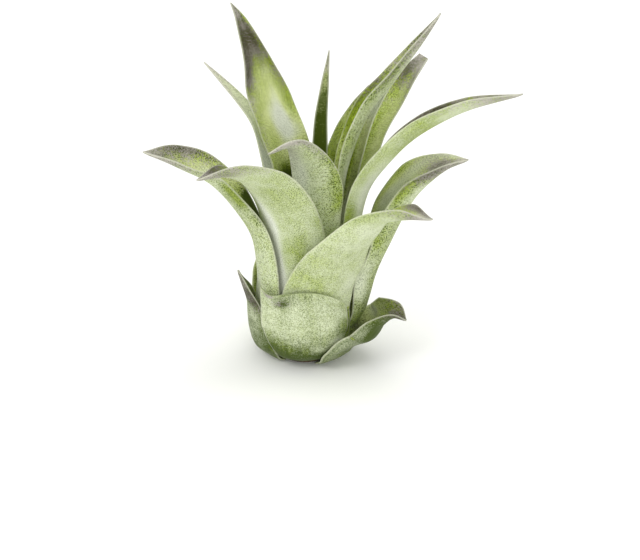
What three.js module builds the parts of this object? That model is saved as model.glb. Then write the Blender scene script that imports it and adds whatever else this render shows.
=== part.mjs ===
// A small rosette air plant, picked and stood on its trimmed stem end.
// Millimetres, +Z up, +X to the right and +Y away from the front of the plant.
import * as THREE from "three";

// Driving dimensions
const BULB_RADIUS = 19.8; // the leaf bases of layer 0, at their widest
const BULB_CENTRE = 12.5; // height about which inner leaf bases are smaller copies of layer 0
const BULB_TOP = 23; // where the leaf bases of layer 0 end and their blades begin
const BASE_RADIUS = 9.4; // where the lowest leaves leave the stem
const BASE_HEIGHT = 0.6;
const LAYER_STEP = 0.67; // between one layer of leaf bases and the next
const LEAF_THICKNESS = 0.65;
const MIDRIB_EXTRA = 0.2; // the blade is this much thicker along its middle
const STEM_GAP = 0.35; // between the stem and the ends of the leaf bases
const STEM_FOOT_BEVEL = 0.5;
const BULB_ROWS = 8; // quads up a leaf base that follows the whole bulb
const BLADE_ROWS = 13; // quads from there to the tip
const COLUMNS = 6; // quads across each leaf
const STEM_SIDES = 40;

// The leaf bases of layer 0 swell from the stem into a bulb: [distance from the axis, height].
const BULB_PROFILE = [
  [BASE_RADIUS, BASE_HEIGHT],
  [15.5, 4],
  [19, 10],
  [BULB_RADIUS, 16.5],
  [19.4, BULB_TOP],
];

// One entry a leaf, all angles in degrees. layer says how many steps the base lies inside BULB_RADIUS,
// faces which way the base faces, wrap half the angle that it reaches round the plant, and bulb the
// share of the bulb profile that it follows. The blade then runs through [x, y, z, width] to its tip,
// where it faces heads and is rolled by turn. cup is half the angle of its channel, and a fifth number
// is what that half angle heads for at that one place. foot is the share of wrap that a base has where
// it leaves the stem. cut shapes a top edge: the share of the blade that each column of points loses.
const LEAVES = [
  {
    name: "leaf_basal_right", layer: -0.5, faces: -22, wrap: 50, bulb: 0.375, heads: -14, cup: 60, turn: 6,
    blade: [[22, -8.3, 9.5, 31], [25.2, -9.3, 15, 23], [28.6, -10, 17.6, 11], [32, -10.3, 16, 0.9]],
  },
  {
    name: "leaf_basal_back", layer: 0, faces: 107, wrap: 43, bulb: 1, heads: 107, cup: 35,
    blade: [[-6, 22.5, 30.5, 14], [-6.5, 26, 37.5, 0.9]],
  },
  {
    name: "leaf_basal_front", layer: 2, faces: -90, wrap: 47, foot: 0.6, bulb: 0.75, heads: -96, cup: 46,
    blade: [
      [-0.5, -18.3, 21.5, 30, 47], [-1, -18.5, 25, 29.5, 46], [-1.5, -18.6, 28, 29, 45],
      [-1.9, -18.5, 30.8, 28, 43],
    ],
    cut: [0.02, 0.22, 0.16, 0.14, 0.21, 0.46, 0.8],
  },
  {
    name: "leaf_back_right", layer: 2, faces: 71, wrap: 36, bulb: 1, heads: 66, cup: 35,
    blade: [[8.2, 18.6, 31, 13], [11, 24, 40, 0.9]],
  },
  {
    name: "leaf_basal_left", layer: 0, faces: 192, wrap: 38, bulb: 0.125, heads: 192, cup: 36,
    blade: [
      [-15.7, -3.3, 5, 23.5, 70], [-17.2, -3.7, 10, 25, 63], [-17.6, -3.7, 15, 22, 48],
      [-17.8, -4, 20, 16, 40], [-19.5, -5, 26, 8], [-21, -5, 31, 0.9],
    ],
  },
  {
    name: "leaf_front_right", layer: 4, faces: -76, wrap: 42, bulb: 1, heads: -38, cup: 34, turn: -8,
    blade: [
      [6.1, -16, 28.5, 25, 29], [11.1, -19, 39.8, 24, 29], [16.9, -23, 48.6, 20.5, 43],
      [23.3, -26.5, 56.2, 17.5, 50], [31, -29.8, 59.5, 15, 60], [38.6, -32, 60.2, 0.9],
    ],
  },
  {
    name: "leaf_back_middle", layer: 4, faces: 95, wrap: 42, bulb: 1, heads: 85, cup: 35,
    blade: [[1.5, 17.5, 31, 15], [4, 20, 39, 9], [5, 24, 45, 0.9]],
  },
  {
    name: "leaf_low_left", layer: 6, faces: 192, wrap: 52, bulb: 1, heads: 197, cup: 54, turn: -7,
    blade: [
      [-14.5, -5, 31, 22, 46], [-16.4, -5.2, 43, 22.5, 50], [-22.8, -4.6, 54, 23.5, 52],
      [-30.5, -4.2, 61.7, 22, 56], [-40, -7, 68, 15.5], [-49.3, -11, 73.5, 0.9],
    ],
  },
  {
    name: "leaf_low_right", layer: 5.9, faces: 7, wrap: 44, bulb: 0.5, heads: -5, cup: 70, turn: 4,
    blade: [
      [18.5, 1.1, 15, 22, 90], [22, 0.8, 27, 22.5, 120], [25.5, -1, 37, 23, 82], [30, -1.8, 47.5, 25, 88],
      [35.8, -2, 57.5, 23, 86], [43.5, -3.4, 65, 12], [50.5, -5, 68.5, 0.9],
    ],
  },
  {
    name: "leaf_front_left", layer: 8, faces: -116, wrap: 50, bulb: 1, heads: -145, cup: 42, turn: 20,
    blade: [
      [-4.3, -13.2, 32, 21], [-5.1, -15.5, 46, 24], [-9.3, -17.7, 58.5, 25], [-15.2, -21.5, 66.8, 24],
      [-22.5, -26.6, 72, 17, 46], [-32, -32, 73, 0.9],
    ],
  },
  {
    name: "leaf_thin_left", layer: 8, faces: 157, wrap: 33, bulb: 1, heads: 148, cup: 30,
    blade: [
      [-10.7, 5.5, 34, 10], [-11.7, 9.5, 60, 10], [-15, 12, 73, 8], [-20.5, 14.5, 80.5, 5],
      [-26, 16, 86.5, 3], [-31.5, 18, 92, 0.9],
    ],
  },
  {
    name: "leaf_back_fan", layer: 8, faces: 54, wrap: 28, bulb: 1, heads: 35, cup: 35,
    blade: [
      [12.2, 11.7, 35, 10.5], [18, 10.3, 58, 10.5], [22, 12, 69, 10], [28, 15, 79, 8.5], [33, 18, 87, 8.5],
      [37.7, 20.5, 92.8, 5],
    ],
  },
  {
    name: "leaf_long_right", layer: 8.3, faces: -14, wrap: 33, bulb: 1, heads: -10, cup: 78, turn: -12,
    blade: [
      [14.9, -4.3, 33, 13, 45], [16.9, -4.8, 48, 14.5], [20.3, -6, 60, 16.5], [27, -7.5, 70, 16.5],
      [36.5, -9, 79.5, 16], [50, -11, 87.5, 11], [66, -12, 92.7, 0.9],
    ],
  },
  {
    name: "leaf_front_hooked", layer: 10.3, faces: -80, wrap: 45, bulb: 1, heads: -160, cup: 36, turn: 40,
    blade: [
      [2, -11, 34, 15.5], [3.5, -12.3, 50, 16.2], [3.6, -12.5, 62, 16.5], [0.8, -15, 72, 13.2],
      [-3.5, -19, 78.5, 8.5], [-11, -24, 78, 0.9],
    ],
  },
  {
    name: "leaf_tall_left", layer: 10, faces: 122, wrap: 40, bulb: 1, heads: 125, cup: 30,
    blade: [
      [-5.2, 8.4, 38, 13], [-5.3, 10, 63, 16], [-11.2, 12, 80, 16], [-15.3, 15, 93, 10.5],
      [-20, 19, 105.5, 4], [-23, 21, 110.5, 0.9],
    ],
  },
  {
    name: "leaf_narrow_right", layer: 10.3, faces: 40, wrap: 35, bulb: 1, heads: 30, cup: 40,
    blade: [
      [10.6, 6.6, 35, 11], [14.5, 5.5, 56, 9], [17, 5.8, 67, 8], [21, 7, 79, 6.5], [26, 8.5, 88, 4],
      [31, 10, 95, 0.9],
    ],
  },
  {
    name: "leaf_steep_right", layer: 12.3, faces: 5, wrap: 39, bulb: 1, heads: 10, cup: 70, turn: -14,
    blade: [
      [9.5, -0.5, 35, 12, 45], [11.8, -1, 56, 13], [14.5, 0, 69, 15], [19.5, 2, 81, 15],
      [27, 3.5, 91, 12.5], [34.5, 5, 101, 8.5], [41.5, 5, 112.5, 0.9],
    ],
  },
  {
    name: "leaf_back_narrow", layer: 12.3, faces: 82, wrap: 34, bulb: 1, heads: 60, cup: 30,
    blade: [
      [3, 8.5, 38, 7], [7.5, 11, 58, 6], [12.2, 13.5, 71, 5.4], [16.3, 15.5, 78.5, 3.6],
      [20, 17.5, 84.5, 0.9],
    ],
  },
  {
    name: "leaf_upright_heart", layer: 14.3, faces: 95, wrap: 46, bulb: 1, heads: 85, cup: 35,
    blade: [
      [1.5, 6, 45, 7], [4.5, 7, 66, 5.4], [5.2, 9.5, 78, 4], [6.3, 12, 87, 2.6], [7.6, 15, 97, 0.9],
    ],
  },
];

const leafGreen = new THREE.MeshStandardMaterial({ color: 0xa9bb8a, roughness: 0.75, metalness: 0 });
const stemBrown = new THREE.MeshStandardMaterial({ color: 0x6d5740, roughness: 0.9, metalness: 0 });

const radians = THREE.MathUtils.degToRad;

// The leaf bases rise along this curve, and inner ones along smaller copies of it.
const bulbCurve = new THREE.SplineCurve(BULB_PROFILE.map((point) => new THREE.Vector2(...point)));

function layerScale(layer) {
  return (BULB_RADIUS - layer * LAYER_STEP) / BULB_RADIUS;
}

// What a leaf passes through: its middle line, and the width, channel, facing and roll there.
function leafStations({ layer, faces, wrap, foot = 1, bulb, heads, cup, turn = 0, blade }) {
  const scale = layerScale(layer);
  const angle = radians(faces);
  const base = [];
  const baseRows = Math.round(bulb * BULB_ROWS);
  for (let row = 0; row <= baseRows; row += 1) {
    const { x, y } = bulbCurve.getPoint(row / BULB_ROWS);
    const radius = x * scale;
    const height = BULB_CENTRE + (y - BULB_CENTRE) * scale;
    const halfAngle = radians(wrap * (foot + ((1 - foot) * row) / baseRows));
    base.push({
      middle: new THREE.Vector3(radius * Math.cos(angle), radius * Math.sin(angle), height),
      shape: new THREE.Vector3(2 * radius * halfAngle, halfAngle, 0),
      attitude: new THREE.Vector3(angle, 0, 1),
    });
  }
  const out = blade.map(([x, y, z, width, ownCup = cup], index) => {
    const along = (index + 1) / blade.length;
    const opened = Math.min(1, 2 * along);
    return {
      middle: new THREE.Vector3(x, y, z),
      shape: new THREE.Vector3(width, radians(wrap + (ownCup - wrap) * opened), MIDRIB_EXTRA),
      attitude: new THREE.Vector3(radians(faces + (heads - faces) * along), radians(turn * along), 0),
    };
  });
  return { stations: [...base, ...out], baseRows };
}

// One leaf: a channelled blade along its middle line, closed at both faces, both margins and both ends.
function leafGeometry(leaf) {
  const { stations, baseRows } = leafStations(leaf);
  const middle = new THREE.CatmullRomCurve3(stations.map((station) => station.middle));
  const shape = new THREE.CatmullRomCurve3(stations.map((station) => station.shape));
  const attitude = new THREE.CatmullRomCurve3(stations.map((station) => station.attitude));
  const baseShare = baseRows / (stations.length - 1);
  const skin = [];
  const halves = [];
  for (let row = 0; row <= baseRows + BLADE_ROWS; row += 1) {
    const onBlade = Math.max(0, row - baseRows) / BLADE_ROWS;
    const onBase = Math.min(row, baseRows) / (stations.length - 1);
    const t = onBase + onBlade * (1 - baseShare);
    const point = middle.getPoint(t);
    const along = middle.getTangent(t);
    const { x: width, y: halfAngle, z: midribExtra } = shape.getPoint(t);
    const { x: facing, y: roll, z: upright } = attitude.getPoint(t);
    const level = new THREE.Vector3(-Math.cos(facing), -Math.sin(facing), 0);
    const side = new THREE.Vector3(-Math.sin(facing), Math.cos(facing), 0);
    side.addScaledVector(along, -side.dot(along)).normalize().applyAxisAngle(along, roll);
    const inward = new THREE.Vector3().crossVectors(along, side).lerp(level, upright).normalize();
    const channelRadius = width / (2 * halfAngle);
    const points = [];
    for (let column = 0; column <= COLUMNS; column += 1) {
      const across = (2 * column) / COLUMNS - 1;
      const angle = across * halfAngle;
      const onSkin = point.clone();
      onSkin.addScaledVector(side, channelRadius * Math.sin(angle));
      onSkin.addScaledVector(inward, channelRadius * (1 - Math.cos(angle)));
      points.push(onSkin);
      halves.push((LEAF_THICKNESS + midribExtra * (1 - across * across)) / 2);
    }
    skin.push(points);
  }
  if (leaf.cut) shorten(skin, baseRows, leaf.cut);
  const normals = skin.flatMap((points, row) => points.map((_, column) => skinNormal(skin, row, column)));
  const upper = skin.flat().map((point, i) => point.clone().addScaledVector(normals[i], halves[i]));
  const lower = skin.flat().map((point, i) => point.clone().addScaledVector(normals[i], -halves[i]));
  return closedBlade(upper, lower);
}

// Shapes a leaf's top edge: takes a share of the blade's length off the end of each column.
function shorten(skin, baseRows, cut) {
  const whole = skin.map((points) => points.map((point) => point.clone()));
  for (let row = baseRows; row < skin.length; row += 1) {
    skin[row].forEach((point, column) => {
      const place = baseRows + (row - baseRows) * (1 - cut[column]);
      const below = Math.min(Math.floor(place), skin.length - 2);
      point.lerpVectors(whole[below][column], whole[below + 1][column], place - below);
    });
  }
}

// Which way the inner face looks at one point of a leaf's middle skin.
function skinNormal(skin, row, column) {
  const rowAfter = Math.min(row + 1, skin.length - 1);
  const rowBefore = Math.max(row - 1, 0);
  const columnAfter = Math.min(column + 1, COLUMNS);
  const columnBefore = Math.max(column - 1, 0);
  const along = skin[rowAfter][column].clone().sub(skin[rowBefore][column]);
  const across = skin[row][columnAfter].clone().sub(skin[row][columnBefore]);
  return along.cross(across).normalize();
}

// Joins two like grids of points into one closed skin, its quads split alike on both faces.
function closedBlade(upper, lower) {
  const across = COLUMNS + 1;
  const rows = upper.length / across - 1;
  const offset = upper.length;
  const faces = [];
  const quad = (a, b, c, d) => faces.push(a, b, c, a, c, d);
  for (let row = 0; row < rows; row += 1) {
    for (let column = 0; column < COLUMNS; column += 1) {
      const a = row * across + column;
      quad(a, a + across, a + across + 1, a + 1);
      faces.push(offset + a, offset + a + across + 1, offset + a + across);
      faces.push(offset + a, offset + a + 1, offset + a + across + 1);
    }
    const left = row * across;
    const right = left + COLUMNS;
    quad(left, offset + left, offset + left + across, left + across);
    quad(right, right + across, offset + right + across, offset + right);
  }
  const tip = rows * across;
  for (let column = 0; column < COLUMNS; column += 1) {
    quad(column, column + 1, offset + column + 1, offset + column);
    const end = tip + column;
    quad(end, offset + end, offset + end + 1, end + 1);
  }
  const geometry = new THREE.BufferGeometry().setFromPoints([...upper, ...lower]);
  geometry.setIndex(faces);
  geometry.computeVertexNormals();
  return geometry;
}

// The short stem inside the bulb: a cone just clear of every leaf base, flat underneath.
function stemGeometry() {
  const rise = BULB_CENTRE - BASE_HEIGHT;
  const slant = Math.hypot(BASE_RADIUS, rise);
  const clear = STEM_GAP + (LEAF_THICKNESS + MIDRIB_EXTRA) / 2;
  const apex = BULB_CENTRE - (clear * slant) / BASE_RADIUS;
  const foot = (apex * BASE_RADIUS) / rise;
  const profile = [
    [0, 0],
    [foot - 2 * STEM_FOOT_BEVEL, 0],
    [foot - STEM_FOOT_BEVEL, STEM_FOOT_BEVEL],
    [0, apex],
  ];
  const lathe = new THREE.LatheGeometry(profile.map((point) => new THREE.Vector2(...point)), STEM_SIDES);
  return lathe.rotateX(Math.PI / 2);
}

function named(name, geometry, material) {
  const mesh = new THREE.Mesh(geometry, material);
  mesh.name = name;
  return mesh;
}

const plant = new THREE.Group();
plant.add(named("stem", stemGeometry(), stemBrown));
for (const leaf of LEAVES) plant.add(named(leaf.name, leafGeometry(leaf), leafGreen));

export default plant;
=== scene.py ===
# A small rosette air plant, picked and stood on its trimmed stem end.
# Sizes are in millimetres until a mesh or a place is handed to Blender, which takes metres.
import math
import bpy
import numpy as np
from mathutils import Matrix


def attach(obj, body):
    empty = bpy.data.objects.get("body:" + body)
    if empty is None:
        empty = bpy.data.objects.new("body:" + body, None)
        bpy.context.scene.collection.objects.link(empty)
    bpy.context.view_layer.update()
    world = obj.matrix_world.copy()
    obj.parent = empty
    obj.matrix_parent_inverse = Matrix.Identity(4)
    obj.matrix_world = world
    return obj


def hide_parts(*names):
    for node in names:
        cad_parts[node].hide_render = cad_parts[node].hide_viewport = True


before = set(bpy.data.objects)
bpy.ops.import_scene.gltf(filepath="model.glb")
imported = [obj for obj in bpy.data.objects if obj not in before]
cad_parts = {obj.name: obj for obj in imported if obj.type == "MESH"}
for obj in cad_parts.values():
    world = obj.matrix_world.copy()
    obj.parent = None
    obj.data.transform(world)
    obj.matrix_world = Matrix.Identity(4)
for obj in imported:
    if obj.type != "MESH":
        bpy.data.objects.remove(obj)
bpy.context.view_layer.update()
scene = bpy.context.scene
MM = 0.001

# Camera: a long lens from the front, a little above the plant and looking down on it.
CAMERA_RISE = math.radians(25)
CAMERA_DISTANCE = 800 * MM
CAMERA_LENS = 141.75
LOOKED_AT = (4.76 * MM, 0, 25.2 * MM)
lens = bpy.data.cameras.new("camera")
lens.lens = CAMERA_LENS
camera = bpy.data.objects.new("camera", lens)
camera.location = (
    LOOKED_AT[0],
    LOOKED_AT[1] - CAMERA_DISTANCE * math.cos(CAMERA_RISE),
    LOOKED_AT[2] + CAMERA_DISTANCE * math.sin(CAMERA_RISE),
)
camera.rotation_euler = (math.pi / 2 - CAMERA_RISE, 0, 0)
scene.collection.objects.link(camera)
scene.camera = camera


# Leaves: nineteen channelled blades of firm green tissue. Each wraps the stem with a pale spoon-shaped
# base, and the bases lie in layers that swell into a bulb. The blade grows out of its base, narrows
# and arches over to a dry tip. Both faces wear silvery water-drinking scales, thickest outside.
BULB_RADIUS = 19.8
BULB_CENTRE = 12.5
BULB_TOP = 23
BASE_RADIUS = 9.4
BASE_HEIGHT = 0.6
LAYER_STEP = 0.67
LEAF_THICKNESS = 0.65
MIDRIB_EXTRA = 0.2
MARGIN_THICKNESS = 0.25
MARGIN_TAPER = 0.8  # the blade thins over this distance from its margin
TIP_WIDTH = 0.25  # a blade that ends in a point narrows to this
BULB_PROFILE = [(BASE_RADIUS, BASE_HEIGHT), (15.5, 4), (19, 10), (BULB_RADIUS, 16.5), (19.4, BULB_TOP)]
BULB_ROWS = 8
FINE_ROWS = 4  # rows of the fine mesh to each row of the bulb
BLADE_ROWS = 84
COLUMNS = 36
ACROSS = np.linspace(-1, 1, COLUMNS + 1)  # from margin to margin
RIBS = 9
RIB_HEIGHT = 0.03
RIB_SWAY = 0.4  # how far the ribs sway sideways, in radians of their own wave
RIB_SPAN = 7  # this and the other spans are lengths for one radian, about a sixth of a wave
SLOW_WAVE = 0.16
SLOW_SPANS = (5.3, 8.9)
SLOW_SLANTS = (2.1, 1.7)  # the two slow waves slant opposite ways, by these radians at the margins
MARGIN_WAVE = 0.3
MARGIN_SPAN = 2.9
MARGIN_SHIFT = 1.3  # radians that each margin's wave is moved, one up the leaf and one down
RIPPLED_WIDTH = 14  # a narrower leaf ripples less
BASE_LENGTH = 24  # the margins are even up to here
WAVES_GROW_OVER = 12  # and their waves grow to full height over this length

# layer says how many steps the base lies inside BULB_RADIUS, faces which way it faces, wrap half the
# angle that it reaches round the plant, and bulb the share of the bulb profile that it follows. The
# blade then runs through (x, y, z, width) to its tip, where it faces heads and is rolled by turn. cup
# is half the angle of its channel, and a fifth number is what that half angle heads for at that place.
# foot is the share of wrap that a base has where it leaves the stem. cut shapes a top edge: the share
# of the blade that each column of points loses, from margin to margin.
LEAVES = [
    dict(
        name="basal_right", layer=-0.5, faces=-22, wrap=50, bulb=0.375, heads=-14, cup=60, turn=6,
        blade=[(22, -8.3, 9.5, 31), (25.2, -9.3, 15, 23), (28.6, -10, 17.6, 11), (32, -10.3, 16, 0.9)],
    ),
    dict(
        name="basal_back", layer=0, faces=107, wrap=43, bulb=1, heads=107, cup=35,
        blade=[(-6, 22.5, 30.5, 14), (-6.5, 26, 37.5, 0.9)],
    ),
    dict(
        name="basal_front", layer=2, faces=-90, wrap=47, foot=0.6, bulb=0.75, heads=-96, cup=46,
        blade=[
            (-0.5, -18.3, 21.5, 30, 47), (-1, -18.5, 25, 29.5, 46), (-1.5, -18.6, 28, 29, 45),
            (-1.9, -18.5, 30.8, 28, 43),
        ],
        cut=(0.02, 0.22, 0.16, 0.14, 0.21, 0.46, 0.8),
    ),
    dict(
        name="back_right", layer=2, faces=71, wrap=36, bulb=1, heads=66, cup=35,
        blade=[(8.2, 18.6, 31, 13), (11, 24, 40, 0.9)],
    ),
    dict(
        name="basal_left", layer=0, faces=192, wrap=38, bulb=0.125, heads=192, cup=36,
        blade=[
            (-15.7, -3.3, 5, 23.5, 70), (-17.2, -3.7, 10, 25, 63), (-17.6, -3.7, 15, 22, 48),
            (-17.8, -4, 20, 16, 40), (-19.5, -5, 26, 8), (-21, -5, 31, 0.9),
        ],
    ),
    dict(
        name="front_right", layer=4, faces=-76, wrap=42, bulb=1, heads=-38, cup=34, turn=-8,
        blade=[
            (6.1, -16, 28.5, 25, 29), (11.1, -19, 39.8, 24, 29), (16.9, -23, 48.6, 20.5, 43),
            (23.3, -26.5, 56.2, 17.5, 50), (31, -29.8, 59.5, 15, 60), (38.6, -32, 60.2, 0.9),
        ],
    ),
    dict(
        name="back_middle", layer=4, faces=95, wrap=42, bulb=1, heads=85, cup=35,
        blade=[(1.5, 17.5, 31, 15), (4, 20, 39, 9), (5, 24, 45, 0.9)],
    ),
    dict(
        name="low_left", layer=6, faces=192, wrap=52, bulb=1, heads=197, cup=54, turn=-7,
        blade=[
            (-14.5, -5, 31, 22, 46), (-16.4, -5.2, 43, 22.5, 50), (-22.8, -4.6, 54, 23.5, 52),
            (-30.5, -4.2, 61.7, 22, 56), (-40, -7, 68, 15.5), (-49.3, -11, 73.5, 0.9),
        ],
    ),
    dict(
        name="low_right", layer=5.9, faces=7, wrap=44, bulb=0.5, heads=-5, cup=70, turn=4,
        blade=[
            (18.5, 1.1, 15, 22, 90), (22, 0.8, 27, 22.5, 120), (25.5, -1, 37, 23, 82),
            (30, -1.8, 47.5, 25, 88), (35.8, -2, 57.5, 23, 86), (43.5, -3.4, 65, 12),
            (50.5, -5, 68.5, 0.9),
        ],
    ),
    dict(
        name="front_left", layer=8, faces=-116, wrap=50, bulb=1, heads=-145, cup=42, turn=20,
        blade=[
            (-4.3, -13.2, 32, 21), (-5.1, -15.5, 46, 24), (-9.3, -17.7, 58.5, 25),
            (-15.2, -21.5, 66.8, 24), (-22.5, -26.6, 72, 17, 46), (-32, -32, 73, 0.9),
        ],
    ),
    dict(
        name="thin_left", layer=8, faces=157, wrap=33, bulb=1, heads=148, cup=30,
        blade=[
            (-10.7, 5.5, 34, 10), (-11.7, 9.5, 60, 10), (-15, 12, 73, 8), (-20.5, 14.5, 80.5, 5),
            (-26, 16, 86.5, 3), (-31.5, 18, 92, 0.9),
        ],
    ),
    dict(
        name="back_fan", layer=8, faces=54, wrap=28, bulb=1, heads=35, cup=35,
        blade=[
            (12.2, 11.7, 35, 10.5), (18, 10.3, 58, 10.5), (22, 12, 69, 10), (28, 15, 79, 8.5),
            (33, 18, 87, 8.5), (37.7, 20.5, 92.8, 5),
        ],
    ),
    dict(
        name="long_right", layer=8.3, faces=-14, wrap=33, bulb=1, heads=-10, cup=78, turn=-12,
        blade=[
            (14.9, -4.3, 33, 13, 45), (16.9, -4.8, 48, 14.5), (20.3, -6, 60, 16.5),
            (27, -7.5, 70, 16.5), (36.5, -9, 79.5, 16), (50, -11, 87.5, 11), (66, -12, 92.7, 0.9),
        ],
    ),
    dict(
        name="front_hooked", layer=10.3, faces=-80, wrap=45, bulb=1, heads=-160, cup=36, turn=40,
        blade=[
            (2, -11, 34, 15.5), (3.5, -12.3, 50, 16.2), (3.6, -12.5, 62, 16.5), (0.8, -15, 72, 13.2),
            (-3.5, -19, 78.5, 8.5), (-11, -24, 78, 0.9),
        ],
    ),
    dict(
        name="tall_left", layer=10, faces=122, wrap=40, bulb=1, heads=125, cup=30,
        blade=[
            (-5.2, 8.4, 38, 13), (-5.3, 10, 63, 16), (-11.2, 12, 80, 16), (-15.3, 15, 93, 10.5),
            (-20, 19, 105.5, 4), (-23, 21, 110.5, 0.9),
        ],
    ),
    dict(
        name="narrow_right", layer=10.3, faces=40, wrap=35, bulb=1, heads=30, cup=40,
        blade=[
            (10.6, 6.6, 35, 11), (14.5, 5.5, 56, 9), (17, 5.8, 67, 8), (21, 7, 79, 6.5),
            (26, 8.5, 88, 4), (31, 10, 95, 0.9),
        ],
    ),
    dict(
        name="steep_right", layer=12.3, faces=5, wrap=39, bulb=1, heads=10, cup=70, turn=-14,
        blade=[
            (9.5, -0.5, 35, 12, 45), (11.8, -1, 56, 13), (14.5, 0, 69, 15), (19.5, 2, 81, 15),
            (27, 3.5, 91, 12.5), (34.5, 5, 101, 8.5), (41.5, 5, 112.5, 0.9),
        ],
    ),
    dict(
        name="back_narrow", layer=12.3, faces=82, wrap=34, bulb=1, heads=60, cup=30,
        blade=[
            (3, 8.5, 38, 7), (7.5, 11, 58, 6), (12.2, 13.5, 71, 5.4), (16.3, 15.5, 78.5, 3.6),
            (20, 17.5, 84.5, 0.9),
        ],
    ),
    dict(
        name="upright_heart", layer=14.3, faces=95, wrap=46, bulb=1, heads=85, cup=35,
        blade=[
            (1.5, 6, 45, 7), (4.5, 7, 66, 5.4), (5.2, 9.5, 78, 4), (6.3, 12, 87, 2.6),
            (7.6, 15, 97, 0.9),
        ],
    ),
]


def smooth_path(points, t, even=False):
    """A curve through the points at t from 0 to 1; even gives all its spans the same weight."""
    points = np.asarray(points, float)
    last = len(points) - 1
    before = points[0] if even else 2 * points[0] - points[1]
    after = points[-1] if even else 2 * points[-1] - points[-2]
    padded = np.vstack([before, points, after])
    place = np.clip(t, 0, 1) * last
    span = np.minimum(place.astype(int), last - 1)
    p0, p1, p2, p3 = (padded[span + k] for k in range(4))
    gaps = []
    for a, b in ((p0, p1), (p1, p2), (p2, p3)):
        gap = np.sqrt(np.linalg.norm(b - a, axis=1, keepdims=True))
        gaps.append(np.ones_like(gap) if even else gap)
    middle_gap = np.where(gaps[1] < 1e-4, 1, gaps[1])
    first_gap = np.where(gaps[0] < 1e-4, middle_gap, gaps[0])
    last_gap = np.where(gaps[2] < 1e-4, middle_gap, gaps[2])
    leaving = (p1 - p0) / first_gap - (p2 - p0) / (first_gap + middle_gap) + (p2 - p1) / middle_gap
    arriving = (p2 - p1) / middle_gap - (p3 - p1) / (middle_gap + last_gap) + (p3 - p2) / last_gap
    leaving, arriving = leaving * middle_gap, arriving * middle_gap
    w = (place - span)[:, None]
    bend = 3 * (p2 - p1) - 2 * leaving - arriving
    twist = 2 * (p1 - p2) + leaving + arriving
    return p1 + leaving * w + bend * w**2 + twist * w**3


def unit(vectors):
    return vectors / np.linalg.norm(vectors, axis=-1, keepdims=True)


def leaf_stations(layer, faces, wrap, bulb, heads, cup, blade, foot=1, turn=0, **others):
    """What a leaf passes through: its middle; its width, half angle and midrib; its facing, roll and
    upright share; and how many rows of stations its base has."""
    scale = (BULB_RADIUS - layer * LAYER_STEP) / BULB_RADIUS
    base_rows = round(bulb * BULB_ROWS)
    rows = np.arange(base_rows + 1) / BULB_ROWS
    radius, height = (smooth_path(BULB_PROFILE, rows, even=True)).T
    radius, height = radius * scale, BULB_CENTRE + (height - BULB_CENTRE) * scale
    angle = math.radians(faces)
    half = math.radians(wrap) * np.linspace(foot, 1, base_rows + 1)
    middle = [(r * math.cos(angle), r * math.sin(angle), z) for r, z in zip(radius, height)]
    shape = [(2 * r * h, h, 0) for r, h in zip(radius, half)]
    attitude = [(angle, 0, 1)] * len(middle)
    for index, (x, y, z, width, *own_cup) in enumerate(blade):
        along = (index + 1) / len(blade)
        opened = min(1, 2 * along)
        half_angle = wrap + ((own_cup or [cup])[0] - wrap) * opened
        middle.append((x, y, z))
        shape.append((width if width > 1 else TIP_WIDTH, math.radians(half_angle), MIDRIB_EXTRA))
        attitude.append((math.radians(faces + (heads - faces) * along), math.radians(turn * along), 0))
    return np.array(middle), np.array(shape), np.array(attitude), base_rows


def leaf_skin(leaf):
    """The middle skin of a leaf as rows of points, with the midrib's extra thickness at each row."""
    middle, shape, attitude, base_rows = leaf_stations(**leaf)
    last = len(middle) - 1
    on_base = np.arange(base_rows * FINE_ROWS) / FINE_ROWS / last
    on_blade = base_rows / last + np.arange(BLADE_ROWS + 1) / BLADE_ROWS * (1 - base_rows / last)
    t = np.concatenate([on_base, on_blade])
    point = smooth_path(middle, t)
    step = 1e-4
    along = unit(smooth_path(middle, t + step) - smooth_path(middle, t - step))
    width, half_angle, midrib = smooth_path(shape, t).T
    facing, roll, upright = smooth_path(attitude, t).T
    level = np.stack([-np.cos(facing), -np.sin(facing), 0 * facing], axis=1)
    side = np.stack([-np.sin(facing), np.cos(facing), 0 * facing], axis=1)
    side = unit(side - along * np.sum(along * side, axis=1, keepdims=True))
    side = side * np.cos(roll)[:, None] + np.cross(along, side) * np.sin(roll)[:, None]
    inward = np.cross(along, side)
    inward = unit(inward + (level - inward) * upright[:, None])
    angle = half_angle[:, None] * ACROSS[None, :]
    radius = (width / (2 * half_angle))[:, None, None]
    skin = point[:, None] + side[:, None] * (radius * np.sin(angle)[..., None])
    skin = skin + inward[:, None] * (radius * (1 - np.cos(angle))[..., None])
    if "cut" in leaf:
        shorten(skin, base_rows * FINE_ROWS, leaf["cut"])
    return skin, midrib


def shorten(skin, first, cut):
    """Shapes a leaf's top edge: takes a share of the blade's length off the end of each column."""
    losses = smooth_path(np.array(cut)[:, None], (ACROSS + 1) / 2)[:, 0]
    rows = np.arange(len(skin) - first)
    for column, loss in enumerate(losses):
        whole = skin[first:, column].copy()
        for axis in range(3):
            skin[first:, column, axis] = np.interp(rows * (1 - loss), rows, whole[:, axis])


def skin_normals(skin):
    along = np.gradient(skin, axis=0)
    across = np.gradient(skin, axis=1)
    return unit(np.cross(along, across))


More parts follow.
